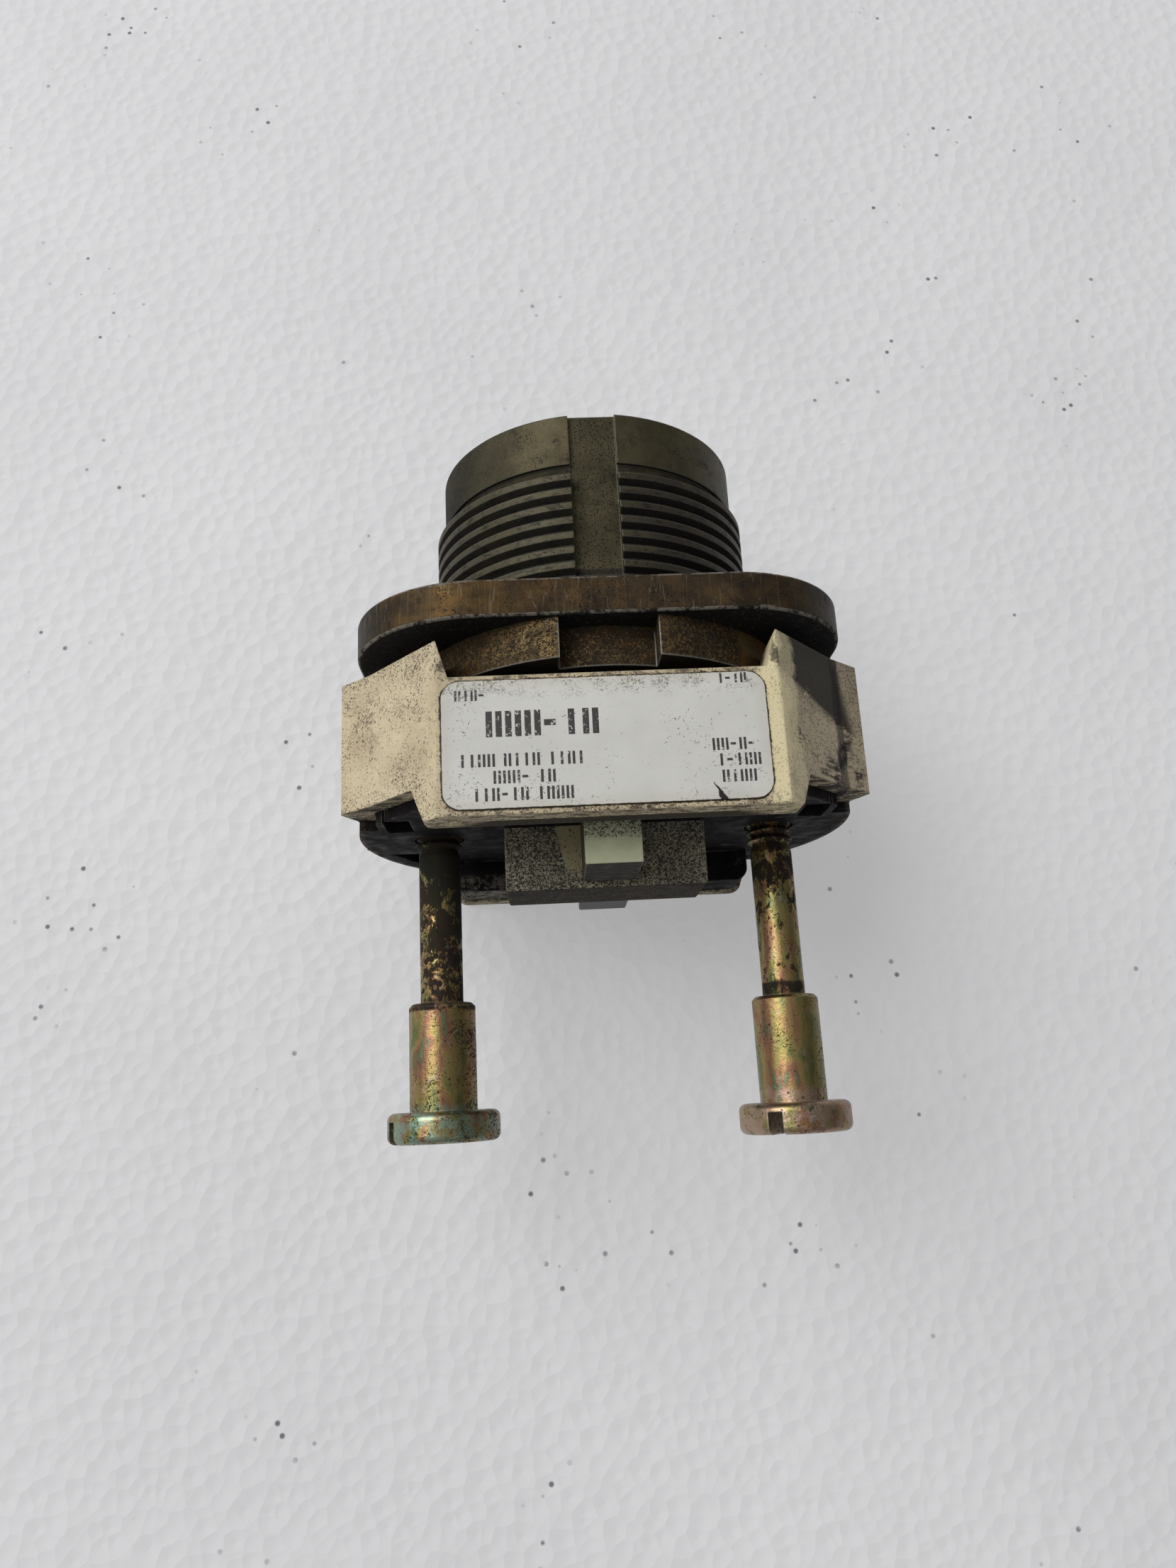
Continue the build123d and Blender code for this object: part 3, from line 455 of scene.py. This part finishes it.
def greasy_black():
    """Dark moulding under a film of black grease, grey dust and rubbed streaks."""
    m = Shade("greasy_black", gloss=0.08)
    colour = m.ramp(m.noise(0.5, 5, 0.65, seed=1), (0.35, (0.006, 0.005, 0.006)),
                    (0.58, (0.013, 0.011, 0.011)), (0.8, (0.034, 0.029, 0.025)))
    radius = radius_from_axis(m)
    rim = m.both(m.step(radius, 21.9, 22.4), m.step(m.noise(0.9, 4, 0.7, seed=2), 0.38, 0.58))
    colour = m.mix(m.times(rim, 0.7), colour, (0.16, 0.13, 0.10))
    streak = m.step(m.noise(0.9, 5, 0.75, seed=8, stretch=(0.45, 1.0, 1.6), distortion=0.5), 0.60, 0.70)
    colour = m.mix(m.times(streak, 0.55), colour, (0.17, 0.155, 0.135))
    dust = m.specks(5.0, 0.32, seed=3, clump=m.step(m.noise(0.5, 4, seed=4), 0.45, 0.7))
    colour = m.mix(m.times(dust, 0.5), colour, (0.20, 0.18, 0.14))
    worn = m.both(m.edge(0.25, 0.05, 0.16, ragged=0.3, seed=4), m.step(m.noise(0.6, 3, seed=9), 0.4, 0.6))
    colour = m.mix(m.times(worn, 0.55), colour, (0.24, 0.21, 0.17))
    rail = m.both(m.both(m.step(m.z, -9.0, -9.8), m.step(m.x, -3.0, 0.0)), m.step(m.y, 19.3, 20.1))
    rail = m.both(rail, m.step(m.noise(1.0, 5, 0.75, seed=5), 0.44, 0.56))
    colour = m.mix(m.times(rail, 0.65), colour, (0.23, 0.21, 0.165))
    rough = m.step(m.noise(0.7, 3, seed=6), 0.2, 0.8)
    return m.finish(colour, m.fade(rough, 0.45, 0.9), None, m.noise(2.5, 5, 0.65, seed=7), 0.35, 0.12,
                    rounding=0.2)


def speckled_block():
    """Grey-cream guide block under dense wormy black dirt, cleaner beside the white actuator."""
    m = Shade("speckled_block", gloss=0.08)
    base = m.ramp(m.noise(0.5, 3, seed=1), (0.3, (0.33, 0.30, 0.22)), (0.8, (0.46, 0.42, 0.31)))
    worms = m.noise(5.6, 3, 0.62, seed=2, distortion=1.3)
    slant = m.plus(m.x, m.times(m.minus(m.y, 18.0), 0.22))
    clean = m.both(m.band(slant, 2.5, 4.6, 0.25), m.step(m.y, 23.0, 21.6))
    clean = m.both(clean, m.step(m.z, 3.0, 3.8))
    cut = m.fade(clean, 0.53, 0.40)
    cut = m.plus(cut, m.times(m.minus(m.noise(0.7, 3, seed=3), 0.5), 0.12))
    dark = m.step(m.minus(worms, cut), 0.02, -0.035)
    base = m.mix(clean, base, (0.40, 0.345, 0.20))
    colour = m.mix(m.times(dark, 0.93), base, (0.018, 0.016, 0.014))
    side = m.step(m.nz, 0.7, 0.4)
    film = m.fade(m.noise(1.2, 5, 0.75, seed=4, stretch=(0.6, 1, 1.5)), 0.55, 1.2)
    colour = m.mix(m.both(m.times(side, 0.92), film), colour, (0.026, 0.021, 0.020))
    pale = m.edge(0.3, 0.05, 0.15, ragged=0.15, seed=5)
    colour = m.mix(m.times(pale, 0.6), colour, (0.42, 0.37, 0.26))
    return m.finish(colour, m.fade(side, 0.55, 0.9), None, worms, 0.3, 0.06, rounding=0.25)


def white_moulding():
    """Greenish white actuator, speckled where it hides under the label wall, filthy on its end, with painted
    shadow in the slot gap on its +X side.
    """
    m = Shade("white_moulding", gloss=0.12)
    colour = m.ramp(m.noise(0.6, 3, seed=1), (0.3, (0.42, 0.43, 0.28)), (0.8, (0.54, 0.55, 0.38)))
    deep = m.step(m.plus(m.y, m.noise(1.5, 3, seed=2)), 22.3, 21.2)
    grain = m.noise(6.2, 3, 0.6, seed=3, distortion=0.9)
    dots = m.step(m.minus(grain, m.fade(deep, 0.27, 0.49)), 0.015, -0.03)
    colour = m.mix(m.times(dots, 0.9), colour, (0.03, 0.03, 0.02))
    end = m.step(m.ny, 0.5, 0.85)
    grime = m.mix(m.step(m.noise(1.2, 5, 0.7, seed=4, stretch=(0.5, 1, 1.5)), 0.45, 0.72),
                  (0.016, 0.012, 0.014), (0.10, 0.085, 0.08))
    colour = m.mix(m.times(end, 0.95), colour, grime)
    # painted shadow: side faces at +X, down in the slot gap, painted dark brown
    side = m.both(m.step(m.absolute(m.nx), 0.5, 0.9), m.step(m.x, 0.0, 0.5))
    colour = m.mix(m.times(side, 0.92), colour, (0.040, 0.025, 0.016))
    rim = m.both(m.edge(0.2, 0.05, 0.15), m.step(m.y, 22.8, 23.0))
    colour = m.mix(m.times(rim, 0.8), colour, (0.52, 0.54, 0.45))
    grime_and_slot_shadow = m.either(end, side)
    return m.finish(colour, m.fade(grime_and_slot_shadow, 0.36, 0.9), None, m.noise(3.0, 3, seed=5), 0.12, 0.05,
                    rounding=0.2)


def plain_moulding(name, dark, light, roughness):
    """Moulding between two tones with a little dust."""
    m = Shade(name, roughness=roughness)
    colour = m.ramp(m.noise(0.8, 4, 0.6, seed=1), (0.3, dark), (0.75, light))
    dust = m.specks(4.0, 0.3, seed=3, clump=m.step(m.noise(0.5, 3, seed=4), 0.45, 0.7))
    colour = m.mix(m.times(dust, 0.3), colour, (0.14, 0.13, 0.12))
    return m.finish(colour, None, None, m.noise(3.0, 3, seed=2), 0.15, 0.05, rounding=0.2)


def chromated_screw(name, seed, shank_grime, dot_cut, crown_tint, pitted):
    """Yellow chromate on steel with green and pink bloom, black grease thickest on the shank, painted shade
    on the side facing -X.

    A lower shank_grime lets more grease on the shank, a higher dot_cut makes the specks denser.
    """
    m = Shade(name, gloss=0.12)
    streak = m.noise(0.42, 3, 0.55, seed=seed, stretch=(1.5, 0.4, 1.5), distortion=0.5)
    bloom = m.ramp(streak, (0.30, (0.10, 0.14, 0.062)), (0.40, (0.22, 0.21, 0.080)),
                   (0.48, (0.33, 0.26, 0.095)), (0.54, (0.34, 0.205, 0.10)), (0.60, (0.27, 0.135, 0.085)),
                   (0.66, (0.135, 0.185, 0.095)), (0.80, (0.30, 0.27, 0.13)))
    pale = m.step(m.noise(1.1, 5, 0.7, seed=seed + 1), 0.56, 0.68)
    colour = m.mix(m.times(pale, 0.5), bloom, (0.36, 0.345, 0.28))
    crown = m.both(m.step(m.y, 41.4, 42.4), m.step(m.noise(0.9, 4, 0.65, seed=seed + 8), 0.40, 0.56))
    colour = m.mix(m.times(crown, 0.7), colour, crown_tint)
    on_shank = m.step(m.y, JOINT_Y + 0.3, JOINT_Y - 0.7)
    patch = m.noise(0.75, 8, 0.8, seed=seed + 2, stretch=(1.0, 0.6, 1.0), distortion=0.4)
    cut = m.fade(on_shank, 0.64, shank_grime)
    cut = m.minus(cut, m.times(m.step(m.y, 30.0, 21.0), 0.10))
    grime = m.step(m.minus(patch, cut), 0.0, 0.05)
    grain = m.noise(4.6, 3, 0.65, seed=seed + 3, distortion=0.8)
    drift = m.step(m.noise(0.4, 4, 0.65, seed=seed + 4), 0.36, 0.66)
    # painted shade: the side facing -X is tinted dark brown, and its specks are denser
    shade_and_specks_side = m.step(m.nx, 0.35, -0.75)
    cover = m.plus(m.fade(drift, dot_cut - 0.13, dot_cut), m.times(shade_and_specks_side, 0.05))
    dots = m.step(m.minus(grain, cover), 0.015, -0.03)
    colour = m.mix(m.times(shade_and_specks_side, 0.45), colour, (0.075, 0.050, 0.020))
    joint = m.both(m.band(m.y, JOINT_Y - 0.6, JOINT_Y + 0.3, 0.25), m.step(patch, 0.40, 0.55))
    dark = m.either(m.either(grime, m.times(dots, 0.9)), joint)
    if pitted:
        pits = m.both(m.specks(1.15, 0.36, seed=seed + 6), m.both(on_shank, m.step(m.y, 26.0, 27.0)))
        dark = m.either(dark, pits)
    colour = m.mix(m.times(dark, 0.95), colour, (0.012, 0.010, 0.009))
    worn = m.edge(0.25, 0.06, 0.2, ragged=0.15, seed=seed)
    worn = m.both(worn, m.step(m.y, 32.0, 33.0))
    colour = m.mix(m.times(worn, 0.45), colour, (0.55, 0.53, 0.45))
    metallic = m.fade(dark, 0.9, 0.05)
    rough = m.fade(dark, m.fade(streak, 0.24, 0.40), 0.8)
    return m.finish(colour, rough, metallic, m.minus(m.noise(2.2, 5, 0.65, seed=seed + 5), dark),
                    0.45, 0.08, rounding=0.15)


def plain_metal(name, colour, roughness):
    """Turned metal with faint marks round it and uneven gloss."""
    m = Shade(name, metallic=1.0)
    tone = m.ramp(m.noise(0.9, 4, 0.6, seed=1), (0.3, tuple(0.7 * c for c in colour)), (0.75, colour))
    rough = m.fade(m.noise(2.0, 3, seed=2), roughness * 0.8, roughness * 1.3)
    return m.finish(tone, rough, None, m.noise(5.0, 3, seed=3, stretch=(1, 4, 1)), 0.1, 0.03, rounding=0.15)


def soft_rubber():
    """Matt black rubber."""
    m = Shade("soft_rubber", roughness=0.7)
    tone = m.ramp(m.noise(1.5, 3, seed=1), (0.3, (0.010, 0.010, 0.010)), (0.8, (0.03, 0.03, 0.03)))
    return m.finish(tone, None, None, m.noise(6.0, 2, seed=2), 0.2, 0.04)


def paper_floor():
    """Pale dimpled paper with a few dark crumbs. It glows a little, which keeps the shadows faint."""
    m = Shade("paper_floor", roughness=0.9)
    tone = m.ramp(m.noise(0.02, 3, seed=1), (0.3, (0.36, 0.36, 0.365)), (0.7, (0.39, 0.39, 0.395)))
    crumb = m.both(m.specks(0.5, 0.16, seed=4), m.step(m.noise(0.06, 3, 0.6, seed=5), 0.57, 0.65))
    tone = m.mix(m.times(crumb, 0.8), tone, (0.03, 0.03, 0.035))
    m.tree.links.new(tone, m.shader.inputs["Emission Color"])
    m.shader.inputs["Emission Strength"].default_value = FLOOR_GLOW
    dimples = m.cells(0.62, seed=6)
    return m.finish(tone, None, None, dimples, 0.6, 0.5)


bright_steel = plain_metal("bright_steel", (0.40, 0.39, 0.37), 0.42)
turned_brass = plain_metal("turned_brass", (0.72, 0.53, 0.24), 0.3)
black_moulding = plain_moulding("black_moulding", (0.008, 0.008, 0.010), (0.020, 0.020, 0.024), 0.42)
FINISHES = {
    "bushing": cast_zinc(), "index_ring": plated_ring(), "cam_housing": cream_moulding(),
    "label_side_1": label_film(), "rear_base": greasy_black(), "plunger_guide": speckled_block(),
    "white_plunger": white_moulding(), "black_plunger": black_moulding, "cam_rotor": black_moulding,
    "screw_left": chromated_screw("chromate_left", 3, 0.47, 0.47, (0.27, 0.40, 0.33), True),
    "screw_right": chromated_screw("chromate_right", 11, 0.56, 0.43, (0.48, 0.33, 0.27), False),
    "shaft_seal": soft_rubber(), "shaft_bearing": turned_brass, "threaded_inserts": turned_brass,
}
FINISHES["label_side_2"] = FINISHES["label_side_1"]


def dress(piece, material):
    """Puts one material on a piece."""
    piece.data.materials.clear()
    piece.data.materials.append(material)


for node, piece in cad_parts.items():
    dress(piece, FINISHES.get(node, bright_steel))


# ------------------------------------------------------------------ print on label 1
PRINT_RISE = 0.02          # thickness of the ink
# Lines of strokes that stand for text: left end and width, front edge and height, stroke width
PRINT_LINES = ((12.45, 2.8, 9.75, 0.9, 0.17), (10.0, 11.8, 11.6, 2.15, 0.5), (12.2, 10.2, 15.15, 1.05, 0.2),
               (9.5, 5.1, 16.55, 1.05, 0.2), (11.15, 8.5, 17.95, 1.05, 0.2), (-8.85, 2.75, 9.05, 0.85, 0.17),
               (-9.5, 1.15, 11.2, 1.8, 0.42), (-8.0, 4.2, 14.55, 1.0, 0.19), (-8.35, 3.65, 15.85, 1.0, 0.19),
               (-8.6, 3.4, 17.2, 1.0, 0.19))
GLYPH = 0.72               # width of one mark, the pitch, against its height
# Shares of the pitch: second stroke of a pair, a single stroke's place, a hyphen's length, a gap
PAIR, SINGLE, HYPHEN, SPACE = 0.5, 0.25, 0.6, 0.7
SHORTEST = 3               # a gap comes only after more marks than this
SPACE_CHANCE = 0.3
CHOICE = Random(4)


def bar(mesh, left, width, front, depth):
    """Thin block of ink on the label's face; left is its end towards +X."""
    low, high = LABEL_HIGH.z / MM, LABEL_HIGH.z / MM + PRINT_RISE
    corners = [mesh.verts.new(Vector((x, y, z)) * MM) for z in (low, high)
               for x, y in ((left, front), (left - width, front), (left - width, front + depth),
                            (left, front + depth))]
    for loop in ((3, 2, 1, 0), (4, 5, 6, 7), (0, 1, 5, 4), (1, 2, 6, 5), (2, 3, 7, 6), (3, 0, 4, 7)):
        mesh.faces.new([corners[k] for k in loop])


def stroke_line(mesh, left, width, front, height, stroke):
    """A line of upright strokes and hyphens, grouped like words; it holds no letters."""
    pitch, right, group = GLYPH * height, left - width, 0
    while left - pitch > right:
        kind = CHOICE.choice(("pair", "pair", "single", "hyphen"))
        if kind == "pair":
            bar(mesh, left, stroke, front, height)
            bar(mesh, left - PAIR * pitch, stroke, front, height)
        elif kind == "single":
            bar(mesh, left - SINGLE * pitch, stroke, front, height)
        else:
            bar(mesh, left, HYPHEN * pitch, front + (height - stroke) / 2, stroke)
        left -= pitch
        group += 1
        if group > SHORTEST and CHOICE.random() < SPACE_CHANCE:
            left -= SPACE * pitch
            group = 0


def add_print(name, lines, material):
    """One thin piece on the housing that holds all the strokes."""
    mesh = bmesh.new()
    for line in lines:
        stroke_line(mesh, *line)
    bmesh.ops.recalc_face_normals(mesh, faces=mesh.faces)
    data = bpy.data.meshes.new(name)
    mesh.to_mesh(data)
    mesh.free()
    piece = bpy.data.objects.new(name, data)
    bpy.context.scene.collection.objects.link(piece)
    dress(piece, material)
    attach(piece, "housing")


add_print("label_print", PRINT_LINES, label_ink())


# ------------------------------------------------------------------ floor and light
FLOOR_HALF = 4.0           # metres
FLOOR_GAP = 0.02 * MM      # keeps the floor just clear of the lowest face
ROOM_BRIGHTEST = (0.62, -0.25, 0.74)
ROOM_DIM, ROOM_PALE = (0.26, 0.26, 0.265), (0.66, 0.66, 0.67)
ROOM_STRENGTH = 0.8


def add_floor():
    """Level square just under the switch's second label side."""
    mesh = bpy.data.meshes.new("floor")
    level = cad_box[0][2] - FLOOR_GAP
    corners = [(x * FLOOR_HALF, y * FLOOR_HALF, level) for x, y in ((-1, -1), (1, -1), (1, 1), (-1, 1))]
    mesh.from_pydata(corners, [], [(0, 1, 2, 3)])
    floor = bpy.data.objects.new("floor", mesh)
    bpy.context.scene.collection.objects.link(floor)
    dress(floor, paper_floor())


def add_softbox(name, direction, distance, size, power):
    """Square area light that looks at the switch from a direction."""
    light = bpy.data.lights.new(name, "AREA")
    light.size = size
    light.energy = power
    lamp = bpy.data.objects.new(name, light)
    towards = Vector(direction).normalized()
    lamp.location = towards * distance
    lamp.rotation_euler = towards.to_track_quat("Z", "Y").to_euler()
    bpy.context.scene.collection.objects.link(lamp)


def add_world():
    """Pale room, brightest high up on the window's side and dim opposite."""
    world = bpy.data.worlds.new("room")
    world.use_nodes = True
    tree = world.node_tree
    coords = tree.nodes.new("ShaderNodeTexCoord")
    towards = tree.nodes.new("ShaderNodeVectorMath")
    towards.operation = "DOT_PRODUCT"
    towards.inputs[1].default_value = Vector(ROOM_BRIGHTEST).normalized()
    ramp = tree.nodes.new("ShaderNodeValToRGB")
    tree.links.new(coords.outputs["Generated"], towards.inputs[0])
    tree.links.new(towards.outputs["Value"], ramp.inputs[0])
    ramp.color_ramp.elements[0].color = (*ROOM_DIM, 1)
    ramp.color_ramp.elements[1].color = (*ROOM_PALE, 1)
    tree.links.new(ramp.outputs[0], tree.nodes["Background"].inputs[0])
    tree.nodes["Background"].inputs[1].default_value = ROOM_STRENGTH
    bpy.context.scene.world = world


add_floor()
add_softbox("window", direction=(0.75, -0.45, 1.0), distance=0.6, size=0.45, power=2.5)
add_world()
bpy.context.scene.view_settings.view_transform = "Standard"
